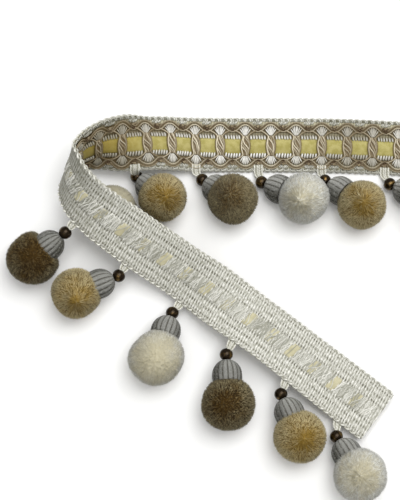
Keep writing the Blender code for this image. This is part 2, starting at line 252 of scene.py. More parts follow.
class Bundle:
    """Closed strands and patches gathered into one mesh, with three marks at each point."""

    def __init__(self):
        self.points = []
        self.marks = []
        self.quads = []
        self.tris = []
        self.count = 0

    def add(self, points, marks, quads=(), tris=()):
        """Points with their marks, and the faces between them."""
        self.points.append(points)
        self.marks.append(marks)
        self.quads.append(np.asarray(quads, int).reshape(-1, 4) + self.count)
        self.tris.append(np.asarray(tris, int).reshape(-1, 3) + self.count)
        self.count += len(points)

    def tube(self, rings, marks):
        """A tube through rings of points, with its ends filled."""
        n, sides = rings.shape[:2]
        marks = np.broadcast_to(marks, rings.shape)
        points = np.concatenate([rings.reshape(-1, 3), rings[[0, -1]].mean(axis=1)])
        marks = np.concatenate([marks.reshape(-1, 3), marks[[0, -1]].mean(axis=1)])
        j = np.arange(sides)
        k = (j + 1) % sides
        i = np.arange(n - 1)[:, None] * sides
        end = (n - 1) * sides
        near = grid(k, j, n * sides)
        far = grid(end + j, end + k, n * sides + 1)
        quads = grid(i + j, i + k, i + sides + k, i + sides + j)
        self.add(points, marks, quads, np.concatenate([near, far]))

    def yarn(self, path, radius, shade, sides=5, pitch=1.7, depth=0.0, flat_share=1.0, up=(0, 0, 1)):
        """A two-ply yarn along a path. Its marks are shade, distance along and height of the ply."""
        run = distances(path)
        turn = math.tau * np.arange(sides) / sides - math.pi / 2
        ply = 0.5 + 0.5 * np.cos(2 * turn - math.tau * run[:, None] / pitch)
        size = np.reshape(radius, (-1, 1)) * (1 - depth + depth * ply)
        ahead = unit(np.gradient(path, axis=0))
        side = unit(np.cross(ahead, up))
        top = np.cross(side, ahead)
        rings = path[:, None] + (size * np.cos(turn))[:, :, None] * side[:, None]
        rings = rings + (size * flat_share * np.sin(turn))[:, :, None] * top[:, None]
        self.tube(rings, grid(np.reshape(shade, (-1, 1)), run[:, None], ply))

    def strand(self, s, w, h, radius, shade, **kind):
        """A yarn on the straight trim."""
        self.yarn(grid(s, w, h), radius, shade, **kind)

    def build(self, name, material, slot, flat=True, replaces=()):
        """The mesh as a piece that rides on the part. Flat points are laid on the route first."""
        points = np.concatenate(self.points)
        if flat:
            points = heading.lay(points)
        points[:, 2] = np.maximum(points[:, 2], FLOOR_CLEAR)
        points = (points - CENTRE) * MM
        quads = np.concatenate(self.quads)
        tris = np.concatenate(self.tris)
        corners = np.concatenate([quads.ravel(), tris.ravel()]).astype(np.int32)
        totals = np.repeat([4, 3], [len(quads), len(tris)]).astype(np.int32)
        starts = (np.cumsum(totals) - totals).astype(np.int32)
        mesh = bpy.data.meshes.new(name)
        mesh.vertices.add(len(points))
        mesh.vertices.foreach_set("co", points.astype(np.float32).ravel())
        mesh.loops.add(len(corners))
        mesh.loops.foreach_set("vertex_index", corners)
        mesh.polygons.add(len(totals))
        mesh.polygons.foreach_set("loop_start", starts)
        mesh.polygons.foreach_set("loop_total", totals)
        mesh.update(calc_edges=True)
        marks = mesh.attributes.new("mark", "FLOAT_VECTOR", "POINT")
        marks.data.foreach_set("vector", np.concatenate(self.marks).astype(np.float32).ravel())
        turned = bmesh.new()
        turned.from_mesh(mesh)
        bmesh.ops.recalc_face_normals(turned, faces=turned.faces)
        turned.to_mesh(mesh)
        turned.free()
        mesh.shade_smooth()
        mesh.materials.append(material)
        piece = bpy.data.objects.new(name, mesh)
        bpy.context.scene.collection.objects.link(piece)
        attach(piece, "root")
        if replaces:
            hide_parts(*replaces)
        return piece


def colour(*screen):
    """A linear colour from its screen values."""
    parts = []
    for value in screen:
        share = value / 255
        parts.append(share / 12.92 if share <= 0.04045 else ((share + 0.055) / 1.055) ** 2.4)
    return (*parts, 1.0)


class Shade:
    """A material built from nodes. Colours are given by their screen values."""

    def __init__(self, name, roughness, specular=0.5, metallic=0.0, sheen=0.0, sheen_roughness=0.5):
        self.material = bpy.data.materials.new(name)
        self.material.use_nodes = True
        self.tree = self.material.node_tree
        self.inputs = self.tree.nodes["Principled BSDF"].inputs
        names = ("Roughness", "Specular IOR Level", "Metallic", "Sheen Weight", "Sheen Roughness")
        for key, value in zip(names, (roughness, specular, metallic, sheen, sheen_roughness)):
            self.inputs[key].default_value = value

    def put(self, socket, value):
        """Link a socket, or set it to a number or a colour."""
        if isinstance(value, bpy.types.NodeSocket):
            self.tree.links.new(value, socket)
        else:
            socket.default_value = colour(*value) if isinstance(value, tuple) else value

    def node(self, kind, inputs=(), **settings):
        made = self.tree.nodes.new("ShaderNode" + kind)
        for key, value in settings.items():
            setattr(made, key, value)
        for key, value in dict(inputs).items():
            self.put(made.inputs[key], value)
        return made

    def marks(self):
        """The three numbers at each point of the mesh."""
        found = self.node("Attribute", attribute_name="mark")
        parts = self.node("SeparateXYZ", {"Vector": found.outputs["Vector"]})
        return parts.outputs["X"], parts.outputs["Y"], parts.outputs["Z"]

    def math(self, operation, a, b=0.0):
        return self.node("Math", {0: a, 1: b}, operation=operation).outputs[0]

    def times(self, a, b):
        return self.math("MULTIPLY", a, b)

    def step(self, value, low, high, start=0.0, end=1.0):
        """A number that goes from start to end as the value goes from low to high."""
        reach = {"Value": value, "From Min": low, "From Max": high, "To Min": start, "To Max": end}
        return self.node("MapRange", reach, interpolation_type="SMOOTHSTEP").outputs[0]

    def vector(self, x, y, z):
        return self.node("CombineXYZ", {"X": x, "Y": y, "Z": z}).outputs[0]

    def noise(self, scale, detail=2.0, vector=None):
        """Noise over the object's own coordinates, or over a vector."""
        place = vector or self.node("TexCoord").outputs["Object"]
        return self.node("TexNoise", {"Vector": place, "Scale": scale, "Detail": detail}).outputs[0]

    def mix(self, share, a, b):
        return self.node("Mix", {0: share, 6: a, 7: b}, data_type="RGBA").outputs[2]

    def tint(self, base, shade, value, *reach):
        """The base turned towards another shade, as much as a step of the value says."""
        return self.mix(self.step(value, *reach), base, shade)

    def finish(self, base, height=None, distance=0.0, strength=0.0):
        """The material with its colour and, where a height is given, its bump."""
        self.put(self.inputs["Base Color"], base)
        if height:
            bump = self.node("Bump", {"Strength": strength, "Distance": distance, "Height": height})
            self.put(self.inputs["Normal"], bump.outputs[0])
        return self.material


def yarn_material(name, dark, light, groove):
    """Twisted yarn: its shade lies between two colours, with painted shade in the valleys between
    plies.
    """
    shade = Shade(name, 0.5, specular=0.4)
    strand, _, ply = shade.marks()
    grain = shade.noise(2600.0, 3.0)
    base = shade.mix(strand, dark, light)
    base = shade.tint(base, groove, grain, 0.35, 0.75, 0.0, 0.2)
    base = shade.tint(base, groove, ply, 0.0, 0.6, 0.45, 0.0)
    return shade.finish(base, grain, 0.00012, 0.5)


def band_material():
    """The woven band: ridges across it, rows of dark dashes on the back, cream edges on the face.

    Nearer the middle the face is dark taupe, painted shade between the threads, a little lighter
    under the ribbon. The grooves between the ridges get painted shade on both sides.

    The third mark is above 0 on the face and below 0 on the back, and grows from 1 to 2 in the turn,
    where it paints shade on both sides.
    """
    shade = Shade("band weave", 0.5, specular=0.4)
    ridge, across, side = shade.marks()
    distance = shade.times(shade.math("ABSOLUTE", across), BRAID_HALF)
    thread = shade.vector(shade.times(ridge, 1.3), shade.times(across, 4.0), side)
    streak = shade.noise(2.0, 3.0, thread)
    fine = shade.vector(shade.times(ridge, 6.0), shade.times(across, 7.0), side)
    fibre = shade.noise(3.0, 2.0, fine)
    waver = shade.times(shade.math("SUBTRACT", streak, 0.5), 0.6)
    crest = shade.times(shade.math("PINGPONG", shade.math("ADD", ridge, waver), 0.5), 2.0)
    groove = shade.step(crest, 0.15, 0.6, 1.0, 0.0)
    rows = 0.0
    for centre, width in DASH_ROWS:
        off = shade.math("ABSOLUTE", shade.math("SUBTRACT", distance, centre))
        rows = shade.math("MAXIMUM", rows, shade.step(off, 0.3 * width, width, 1.0, 0.0))
    patch = shade.step(shade.noise(160.0), 0.3, 0.65, 0.4, 1.0)
    back = shade.mix(shade.step(streak, 0.3, 0.7), (164, 163, 148), (248, 247, 240))
    back = shade.tint(back, (150, 149, 134), fibre, 0.35, 0.75, 0.0, 0.35)
    # Painted shade in the grooves between the ridges.
    back = shade.mix(shade.times(groove, 0.52), back, (112, 111, 94))
    back = shade.mix(shade.times(rows, 0.15), back, (128, 127, 110))
    back = shade.mix(shade.times(shade.times(groove, rows), patch), back, (72, 69, 50))
    # Painted shade on the back in the turn.
    back = shade.tint(back, (92, 91, 74), side, -1.0, -2.0, 0.0, 0.62)
    # Dark taupe ground near the middle: painted shade between the threads, lighter under the ribbon.
    face = shade.mix(shade.step(distance, 8.6, 9.6), (112, 98, 66), (188, 183, 154))
    face = shade.tint(face, (134, 126, 98), distance, 5.2, 6.2, 1.0, 0.0)
    # Painted shade in the grooves between the ridges.
    face = shade.tint(face, (70, 60, 38), crest, 0.1, 0.6, 0.5, 0.0)
    # Painted shade on the face in the turn.
    face = shade.tint(face, (92, 76, 46), side, 1.0, 2.0, 0.0, 0.6)
    return shade.finish(shade.tint(back, face, side, -0.1, 0.1), fibre, 0.0002, 0.6)


def velvet_material(name, deep, light, dark_pile_and_shade):
    """Velvet ribbon: short pile, uneven nap, and painted shade under the bars and in the turn."""
    shade = Shade(name, 0.85, specular=0.15, sheen=0.15, sheen_roughness=0.4)
    shade.put(shade.inputs["Sheen Tint"], (250, 244, 205))
    dip, across, turn = shade.marks()
    pile = shade.noise(5200.0)
    base = shade.mix(shade.step(shade.noise(420.0), 0.3, 0.7), deep, light)
    base = shade.tint(base, dark_pile_and_shade, pile, 0.35, 0.7, 0.3, 0.0)
    # Painted shade in the turn.
    base = shade.mix(shade.times(turn, 0.75), base, (150, 128, 52))
    # Darker towards the pompom edge.
    base = shade.tint(base, dark_pile_and_shade, across, 0.0, 1.0, 0.3, 0.0)
    # Painted shade where the ribbon dips under a bar.
    base = shade.tint(base, dark_pile_and_shade, dip, 0.3, 0.75, 0.6, 0.0)
    return shade.finish(base, pile, 0.0002, 0.5)


def floss_material(name, light, dark):
    """Loose shiny threads that lie side by side."""
    shade = Shade(name, 0.45, sheen=0.2)
    grain = shade.noise(1800.0)
    base = shade.mix(shade.marks()[0], dark, light)
    base = shade.tint(base, dark, grain, 0.3, 0.8, 0.0, 0.25)
    return shade.finish(base, grain, 0.0001, 0.4)


def skirt_material():
    """Silk thread wound in ribs: light crests, grooves in painted shade, and fine wraps."""
    shade = Shade("silver silk ribs", 0.32, specular=0.7)
    crest, run, tone = shade.marks()
    # The third mark is mostly painted light: light where the ribs face the lamp, dark where they turn
    # away.
    light = shade.mix(tone, (72, 71, 58), (220, 220, 214))
    dark = shade.mix(tone, (38, 35, 26), (128, 125, 113))
    twist = shade.vector(shade.math("ADD", run, shade.times(crest, 0.7)), 0.0, 0.0)
    wrap = shade.node("TexWave", {"Vector": twist, "Scale": 1.9, "Distortion": 1.5}).outputs[1]
    # Painted shade in the grooves between the ribs.
    base = shade.tint(dark, light, crest, 0.1, 0.8)
    base = shade.tint(base, (84, 82, 68), wrap, 0.1, 0.9, 0.55, 0.0)
    base = shade.tint(base, (216, 216, 210), shade.noise(1500.0, 3.0), 0.48, 0.7, 0.0, 0.5)
    return shade.finish(base, wrap, 0.0004, 0.8)


def bead_material():
    """Dark bronze lacquer with a little rubbed gold."""
    shade = Shade("bronze bead", 0.2, metallic=0.75)
    base = shade.tint((40, 30, 16), (116, 92, 48), shade.noise(420.0, 3.0), 0.5, 0.75)
    return shade.finish(base, shade.noise(900.0), 0.0001, 0.3)


def pile_material(name, root, deep, tip, rim, speckle):
    """Cut pile: painted shade at the roots, richest round the parting, paler and greyer away from it.

    The paler, greyer rim is a painted sheen; root and rim colours also tint random tufts.
    """
    shade = Shade(name, 0.85, specular=0.12, sheen=0.05, sheen_roughness=0.4)
    height, tuft, star = shade.marks()
    patch = shade.times(shade.noise(170.0), 1.2)
    far = shade.step(shade.math("ADD", star, patch), 0.65, 1.25)
    body = shade.mix(shade.times(far, 0.6), deep, rim)
    base = shade.tint(body, shade.mix(far, tip, rim), height, 0.3, 1.0)
    base = shade.tint(root, base, height, 0.0, 0.5)
    base = shade.tint(base, root, tuft, 0.0, 0.6, 0.7, 0.0)
    base = shade.tint(base, rim, tuft, 0.6, 1.0, 0.0, 0.6)
    base = shade.tint(base, deep, star, 0.0, 0.25, 0.5, 0.0)
    base = shade.tint(base, root, shade.noise(1000.0), 0.4, 0.58, speckle, 0.0)
    return shade.finish(base)


def weave_band():
    """The band as one closed sheet, with raised ridges across its back and face."""
    s = np.append(np.arange(heading.first, heading.last, RIDGE / 4), heading.last)[:, None]
    half = BRAID_HALF - ROPE_COVER
    w = np.linspace(-half, half, 25)
    press = np.max([bell(abs(w), centre, 0.7) for centre, _ in DASH_ROWS], axis=0)
    edge = limit((half - abs(w)) / 0.8) ** 0.5
    w, press, edge = (np.concatenate([row, row[::-1]]) for row in (w, press, edge))
    in_front = np.arange(len(w)) < len(w) // 2
    ridge = (s + RIDGE_SLANT * w) / RIDGE
    wave = 0.5 - 0.5 * np.cos(math.tau * ridge)
    face = 0.26 + (0.16 + 0.08 * wave) * edge
    back = 0.26 + (0.12 + 0.24 * wave * (1 - 0.5 * press)) * edge
    bar = s / BAR_PITCH
    # The third mark grows to 2 in the turn, where the material paints shade on it.
    inside = 1.0 + bell(bar, TURN_INSIDE, 2.2)
    outside = 1.0 + bell(bar, TURN_OUTSIDE, 2.2)
    side = np.where(in_front, inside, -outside)
    bundle = Bundle()
    bundle.tube(grid(s, w, np.where(in_front, face, -back)), grid(ridge, w / BRAID_HALF, side))
    return bundle.build("band_weave", band_material(), "cream_weave", replaces=["band"])


def ribbon_shift(s):
    """How far the ribbon and its bars lie from the middle, towards the pompom edge."""
    return np.interp(s / BAR_PITCH, *RIBBON_PLACE)


def velvet_ribbon():
    """The ribbon as one closed sheet: it swells between the bars and is pinched under them."""
    s = np.append(np.arange(heading.first, heading.last, 0.6), heading.last)[:, None]
    bar = s / BAR_PITCH
    dip = np.abs(np.sin(math.pi * bar))
    swell = dip**0.7
    across = np.linspace(-1, 1, 11)
    top = 1.05 + (0.35 + 0.4 * swell) * (1 - abs(across) ** 3.5)
    low = np.full(top.shape, FACE + 0.02)
    across = np.concatenate([across, across[::-1]])
    w = (RIBBON_HALF + 0.1 * swell) * across + ribbon_shift(s)
    rings = grid(s, w, np.concatenate([top, low], axis=1))
    bundle = Bundle()
    # The third mark paints shade on the ribbon in the turn.
    bundle.tube(rings, grid(dip, 0.5 + 0.5 * across, bell(bar, TURN_INSIDE, 1.6)))
    return bundle.build("ribbon_velvet", gold_velvet, "gold_velvet", replaces=["ribbon"])


# Half an arch of the cords. Rows: distance from its bar, how far out on the plain and other side.
ARCH = (
    (5.75, 5.2, 4.6, 3.9, 3.2, 2.3, 1.2, 0.0),
    (7.0, 7.05, 7.25, 7.75, 8.4, 9.2, 9.85, 10.05),
    (7.3, 7.35, 7.6, 8.2, 8.9, 9.6, 10.2, 10.4),
)


def painted_shade_tone(s):
    """How light the face's threads are: painted shade, browner in the turn and towards the cut end."""
    bar = s / BAR_PITCH
    return 1 - 0.62 * np.maximum(bell(bar, TURN_INSIDE, 2.5), 0.8 * bell(bar, -10.3, 1.6))


def scallop(s, side):
    """How far from the middle the scalloped cord of one side runs."""
    off = (s / BAR_PITCH + 0.5) % 1.0 - 0.5
    knots, *sides = whole(ARCH).T
    return smooth(knots, sides[side < 0][:, None], off * BAR_PITCH)[:, 0]


# The yarns of a scalloped cord.
# Columns: place across the cord, radius, shade, height.
CORD_YARNS = (
    (0.66, 0.27, 0.42, 1.5),
    (0.18, 0.2, 0.0, 1.4),
    (-0.28, 0.16, 0.25, 1.35),
    (-0.64, 0.24, 1.0, 1.55),
)


def gimp_cords():
    """A scalloped cord at each edge: olive and cream yarns side by side, with dark ones between."""
    bundle = Bundle()
    s = np.linspace(heading.first + 0.3, heading.last - 0.3, 1180)
    arch = 0.5 + 0.5 * np.cos(math.tau * s / BAR_PITCH)
    # Painted shade: the yarns are darker where the cord dips between two arches, and in the turn.
    light = (0.45 + 0.55 * arch) * painted_shade_tone(s)
    for side in (-1, 1):
        w = scallop(s, side)
        square = unit(grid(-np.gradient(w, s), 1.0))
        for place, radius, tone, height in CORD_YARNS:
            along = s + place * square[:, 0]
            across = side * (w + place * square[:, 1]) + INNER_SHIFT
            h = height - 0.3 * (1 - arch)
            bundle.strand(along, across, h, radius, tone * light, pitch=1.3, depth=0.2)
    bundle.build("gimp_cords", cord_material, "taupe_cord", replaces=["gimp"])


# Half of a bar's strand. Rows: distance across, spread from the bar, height.
STRAND = (
    (6.75, 6.6, 6.25, 5.75, 5.1, 4.4, 3.5, 2.0, 0.0),
    (5.6, 4.8, 3.9, 3.0, 2.15, 1.6, 1.65, 2.05, 2.2),
    (1.2, 1.25, 1.35, 1.5, 1.75, 2.0, 2.2, 2.35, 2.4),
)

# Shades of the yarns that make up a bar's rope, in turn round it.
ROPE_SHADES = (0.95, 0.35, 0.75, 0.3, 1.0, 0.4, 0.7)


def gimp_bars():
    """Bars over the ribbon: a loose rope each, whose outer strands swing round to the next bar."""
    random = np.random.default_rng(7)
    bundle = Bundle()
    table = whole(STRAND)
    ends = np.linspace(-6.75, -4.2, 9)
    at = np.concatenate([ends, np.linspace(-3.5, 3.5, 9), -ends[::-1]])
    spread, height = smooth(table[:, 0], table[:, 1:], at).T
    swing = limit((abs(at) - 4.2) / 2.5)
    inner = np.linspace(-4.7, 4.7, 17)
    lens = 1 - 0.45 * (inner / 4.7) ** 2
    dome = limit(1 - (inner / 5.4) ** 4)
    for bar in BARS:
        middle = bar * BAR_PITCH
        # Painted shade in the turn.
        shade_dim = painted_shade_tone(middle)
        shift = ribbon_shift(middle)
        lean = random.uniform(-0.15, 0.15)
        for direction, cream in ((-1, 0.4), (1, 1.0)):
            for step, radius, tone in ((0.0, 0.22, 0.0), (0.42, 0.28, cream)):
                out = direction * (spread - step * (1 - 0.3 * swing))
                s = np.clip(middle + out + lean * at / 4, heading.first, heading.last)
                w = at + np.sign(at) * 0.5 * step * swing + shift * (1 - 0.5 * swing)
                h = height + 0.5 * step * (1 - swing)
                # Painted shade: the outer strands are darker where they swing down towards the next
                # bar.
                shade = limit(tone * (1 - 0.45 * swing) * shade_dim + random.uniform(-0.05, 0.05))
                bundle.strand(s, w, h, radius, shade, pitch=1.4, depth=0.22)
        # A dark flat yarn under the rope: painted shade between its strands.
        bundle.strand(middle, inner + shift, 1.8, 1.6 * lens, 0.0, sides=8, flat_share=0.4)
        start = random.uniform(0, math.tau)
        pitch = -random.uniform(13, 18)
        for number, tone in enumerate(ROPE_SHADES):
            sway = random.uniform(0.1, 0.5) * np.sin(0.7 * inner + random.uniform(0, 6))
            around = start + math.tau * (number / len(ROPE_SHADES) + inner / pitch) + sway
            out = 1.6 * np.cos(around) * lens + lean * inner / 4
            s = np.clip(middle + out, heading.first, heading.last)
            h = 1.85 + (np.sin(around) + random.uniform(-0.08, 0.08)) * dome
            # Rope strands are darker on the pompom side, with painted shade in the turn.
            shade = limit(tone * shade_dim * (1 - 0.3 * (inner < -2)) + random.uniform(-0.1, 0.1))
            radius = random.uniform(0.3, 0.42) * (0.75 + 0.25 * lens)
            bundle.strand(s, inner + shift, h, radius, shade, sides=6, pitch=1.5, depth=0.25)
    bundle.build("gimp_bars", cord_material, "taupe_cord")


# How far from the middle two arches meet, and the brown loops there.
# Columns: place along, place outwards, size, shade, height. The last, lightest loop lies on top
# as a painted highlight.
KNOT_PLACE = 8.1
KNOT_LOOPS = (
    (-0.8, 0.35, 0.75, 0.3, 1.6),
    (0.8, 0.2, 0.75, 0.1, 1.65),
    (0.0, -0.6, 0.65, 0.0, 1.7),
    (0.1, 0.6, 0.4, 0.5, 1.75),
)


def knots():
    """Small brown loops where two arches meet."""
    random = np.random.default_rng(9)
    bundle = Bundle()
    turn = np.linspace(0, 2.2 * math.pi, 11)
    for middle in SPACES:
        if not heading.holds(middle, 1.9):
            continue
        for side in (-1, 1):
            for place, out, size, tone, height in KNOT_LOOPS:
                start = random.uniform(0, 6)
                s = middle + place + size * np.cos(turn + start) + random.uniform(-0.2, 0.2)
                w = side * (KNOT_PLACE + out) + INNER_SHIFT + 0.8 * size * np.sin(turn + start)
                w = w + random.uniform(-0.15, 0.15)
                h = height + 0.2 * np.sin(2 * turn)
                shade = limit(tone + random.uniform(-0.1, 0.15))
                bundle.strand(s, w, h, 0.28, shade, pitch=1.3, depth=0.2)
    bundle.build("gimp_knots", knot_material, "taupe_cord")


def fans():
    """White threads that fan out inside each arch, from its foot to its crown."""
    random = np.random.default_rng(11)
    bundle = Bundle()
    at = np.linspace(0, 1, 8)
    h = 1.4 + 0.45 * np.sin(math.pi * at) ** 0.7
    radius = (0.14 + 0.24 * at) * taper(8, 0.2, 0.5)
    foot = 4.4
    for bar in BARS:
        middle = bar * BAR_PITCH
        # Painted shade in the turn.
        shade_dim = painted_shade_tone(middle) ** 1.5
        for side, crown in ((-1, 9.4), (1, 9.1)):
            for lane in np.linspace(-1, 1, 7):
                s = middle + lane * (0.25 + 2.15 * at**0.85) + random.uniform(-0.08, 0.08)
                if not heading.holds(s, 0.3):
                    continue
                w = side * (foot + (crown - foot - 1.5 * lane**2) * at) + INNER_SHIFT
                shade = limit((random.uniform(0.75, 1.0) - 0.7 * at**6) * shade_dim)
                bundle.strand(s, w, h, radius, shade)
    bundle.build("thread_fans", white_material, "cream_weave")


def ticks():
    """White stitches over both edges of the ribbon, between the bars."""
    random = np.random.default_rng(13)
    bundle = Bundle()
    at = np.linspace(0, 1, 7)
    h = 1.5 + 0.3 * np.sin(math.pi * limit(at + 0.15)) - 0.3 * at
    for space in SPACES:
        # Painted shade in the turn.
        shade_dim = painted_shade_tone(space) ** 1.5
        for side, start, dullest, fade in ((-1, 3.35, 0.85, 0.75), (1, 3.1, 0.75, 0.45)):
            for lane in np.linspace(-3.1, 3.1, 6):
                middle = space + lane
                if not heading.holds(middle, 0.5):
                    continue
                s = middle + 0.35 * (at - 0.5) + random.uniform(-0.1, 0.1)
                w = side * (start + random.uniform(-0.12, 0.12) + 2.1 * at) + ribbon_shift(middle)
                shade = random.uniform(dullest, 1.0) * shade_dim * np.linspace(1.0, fade, 7)
                radius = random.uniform(0.45, 0.54) * taper(7, 0.25, 0.55)
                bundle.strand(s, w, h, radius, shade)
    bundle.build("stitch_ticks", white_material, "cream_weave")


def picots():
    """Rounded loops along both edges of the face, stitches between the arches, and a rope edge."""
    random = np.random.default_rng(15)
    bundle = Bundle()
    pitch = BAR_PITCH / 4
    first = math.ceil((heading.first + 1.5) / pitch) * pitch + pitch / 2
    loops = int((heading.last - 1.0 - first) / pitch)
    rope = np.linspace(-0.4, loops + 0.4, loops * 9)
    swing = np.sin(math.tau * rope)
    t = np.linspace(0, math.pi, 9)
    for side, foot, reach, dim in ((-1, 11.2, 1.0, 0.75), (1, 10.75, 1.5, 1.0)):
        for centre in np.arange(first, heading.last - 1.6, pitch):
            place = centre + random.uniform(-0.12, 0.12)
            # An outer light loop with an inner dark one, painted shade inside the loop; painted shade
            # in the turn.
            tones = limit(np.array([0.9, 0.25]) + random.uniform(-0.2, 0.1, 2))
            tones = tones * dim * painted_shade_tone(centre) ** 0.7
            for size, radius, tone in zip((1.0, 0.42), (0.36, 0.3), tones):
                s = place - 1.12 * size * np.cos(t) + 0.4 * np.sin(t)
                w = side * (foot + reach * size * np.sin(t) ** 0.75)
                bundle.strand(s, w, 0.75 + 0.1 * np.sin(t), radius, tone, depth=0.1)
        for space in SPACES:
            for lane in (-1.7, -1.0, -0.3, 0.4, 1.1, 1.8):
                middle = space + lane
                if not heading.holds(middle, 1.5):
                    continue
                lean = 0.35 if side > 0 else 0.55 * np.sign(lane)
                s = middle + lean * np.cos(t) + random.uniform(-0.15, 0.15)
                low = 9.2 + 0.35 * abs(lane)
                w = side * (low + (10.9 - low) * (0.5 - 0.5 * np.cos(t))) + 0.3 * INNER_SHIFT
                # Painted shade in the turn.
                tone = random.uniform(0.45, 0.95) * painted_shade_tone(middle) ** 0.7
                bundle.strand(s, w, 0.8 + 0.3 * np.sin(t), 0.27 * taper(9, 0.3, 0.5), tone)
        s = first + pitch * rope + 0.35 * swing
        w = side * (12.1 + 0.34 * np.cos(math.tau * rope))
        shade = 0.45 + 0.5 * limit(swing)
        bundle.strand(s, w, -0.12 - 0.42 * swing, 0.46, shade, pitch=3.0, depth=0.1)
    bundle.build("picot_edge", picot_material, "cream_weave")


def back_floats():
    """Loose threads across the middle of the back, with the ribbon showing at each bar."""
    random = np.random.default_rng(17)
    bundle = Bundle()
    windows = Bundle()
    slant = 0.2
    at = np.linspace(-1, 1, 8)
    crown = 1 - at**4
    thin = taper(8, 0.2, 0.5)
    for space in SPACES:
        for lane in np.linspace(-3.5, 3.5, 19):
            lean = random.uniform(-1.0, 1.0)
            bend = random.uniform(-0.6, 0.6)
            s = space + lane + (slant * 3.9 + lean) * at + bend * np.sin(math.pi * at)
            s = s + random.uniform(-0.15, 0.15)
            if not heading.holds(s, 0.4):
                continue
            w = (3.9 + random.uniform(-0.3, 0.3)) * at
            h = -0.46 - (0.2 + random.uniform(-0.08, 0.14)) * crown
            radius = random.uniform(0.16, 0.26) * thin
            bundle.strand(s, w, h, radius, random.uniform(0.0, 1.0), flat_share=0.8)
    lanes = np.linspace(-1, 1, 7)
    w = np.linspace(-3.5, 3.5, 9)[:, None]
    rise = (1 - lanes**4) * (1 - (w / 3.7) ** 6)
    for bar in BARS:
        middle = bar * BAR_PITCH + random.uniform(-0.3, 0.3)
        if not heading.holds(middle, 3.2):
            continue
        odd = bar % 2
        half = (2.1 if odd else 1.8) * (1 - 0.25 * (w / 3.5) ** 2)
        s = middle + half * lanes + slant * w + random.uniform(-0.5, 0.5) * (w / 3.5) ** 2
        top = grid(s, w, -0.5 - 0.16 * rise)
        under = grid(s, w, -0.4)[:, ::-1]
        windows.tube(np.concatenate([top, under], axis=1), (0.9, 1.0, 0.0))
        for _ in range(random.integers(1, 4) if odd else random.integers(6, 10)):
            start = random.uniform(-1.9, 1.9)
            curl = random.uniform(-1.6, 1.6)
            s = middle + start + curl * np.sin(0.75 * math.pi * at) + slant * 3.8 * at
            tone = random.uniform(0.0, 0.8)
            bundle.strand(s, 3.7 * at, -0.56 - 0.3 * crown, 0.19 * thin, tone)
    bundle.build("back_floats", floats_material, "cream_weave")
    windows.build("ribbon_windows", window_material, "gold_velvet")


# Where each pompom's pile parts, as shares of its radius to the right of and above its middle,
# how clear the parting is, and how much lighter or darker the yarn is. The partings face the
# camera, so the pile's paleness away from them is a painted sheen at the rims; tassel 6, which
# lies under the turn, is darkened as painted shade.
PARTINGS = (
    (0.1, 0.1, 0.5, 0.0),
    (-0.05, 0.12, 0.8, 0.0),
    (-0.22, -0.12, 1.0, 0.05),
    (-0.13, 0.17, 1.0, 0.3),
    (0.2, -0.02, 0.8, 0.0),
    (0.1, 0.2, 0.4, -0.9),
    (0.05, 0.1, 0.25, -0.15),
    (0.1, -0.35, 0.9, -0.1),
    (0.0, -0.1, 0.15, -0.3),
    (-0.2, 0.1, 0.3, 0.0),
    (0.1, 0.0, 0.5, 0.0),
    (-0.1, 0.15, 0.5, 0.0),
)

# Places where a pompom is flatter than a ball, as seen from above.
# Columns: tassel, right, up, depth as a share of the radius, width of the place.
DENTS = (
    (2, 0.98, 0.0, 0.05, 0.6),
    (2, 0.6, -0.8, 0.04, 0.5),
    (3, 0.75, -0.66, 0.08, 0.6),
    (3, -0.95, -0.1, 0.03, 0.4),
    (4, -0.72, -0.7, 0.07, 0.55),
    (4, 0.75, -0.65, 0.06, 0.5),
    (7, -0.7, 0.72, 0.05, 0.4),
    (8, -0.85, -0.5, 0.06, 0.55),
    (8, 0.7, -0.72, 0.04, 0.5),
    (9, -0.68, 0.72, 0.09, 0.6),
    (9, 0.75, -0.66, 0.05, 0.5),
)


class Tassel:
    """Where one tassel's bead, skirt and pompom are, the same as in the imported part."""

    def __init__(self, number, row):
        self.bar, self.colour, x, y, radius, *bead_place = row
        self.number = number
        self.radius = radius
        self.centre = np.array([x, y, radius - POMPOM_SINK])
        self.bead = np.array(bead_place)
        self.axis = unit(self.centre - self.bead)
        self.neck = self.bead + self.axis * (BEAD_HALF_LENGTH + GAP)
        self.mouth = self.neck + self.axis * SKIRT_LENGTH
        self.seat = (self.centre - self.mouth) @ self.axis - GAP
        self.side = np.array(Vector(self.axis).orthogonal().normalized())
        self.other = np.cross(self.axis, self.side)
        right, up, self.hollow, self.yarn_shift_and_shade = PARTINGS[number - 1]
        front = math.sqrt(1 - right**2 - up**2)
        self.parting = unit(np.array([right, UP_Y * up - UP_Z * front, UP_Z * up + UP_Y * front]))

    def build(self, bundle, piece, material, slot, node):
        """A bundle as this tassel's own piece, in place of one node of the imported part."""
        number = f"_{self.number:02d}"
        bundle.build(piece + number, material, slot, flat=False, replaces=[node + number])

    def out(self, count):
        """Even directions round the axis."""
        turn = math.tau * np.arange(count)[:, None] / count
        return np.cos(turn) * self.side + np.sin(turn) * self.other

    def ring(self, place, radii):
        """A ring of points round the axis, at a point on it."""
        return place + radii[:, None] * self.out(len(radii))

    def angle(self, directions):
        """How far directions from the pompom's middle are from the parting of its pile."""
        return np.arccos(np.clip(directions @ self.parting, -1, 1))

    def sheen_paleness(self, angle):
        """How far the pile has gone from its rich colour at the parting to the pale one.

        The paleness is a painted sheen towards the rim; a negative shift of the yarn's tone lessens it.
        """
        share = limit(angle / math.radians(95)) ** (1.6 - 0.6 * self.hollow)
        return share * limit(1 + self.yarn_shift_and_shade)


tassels = [Tassel(number + 1, row) for number, row in enumerate(TASSELS)]

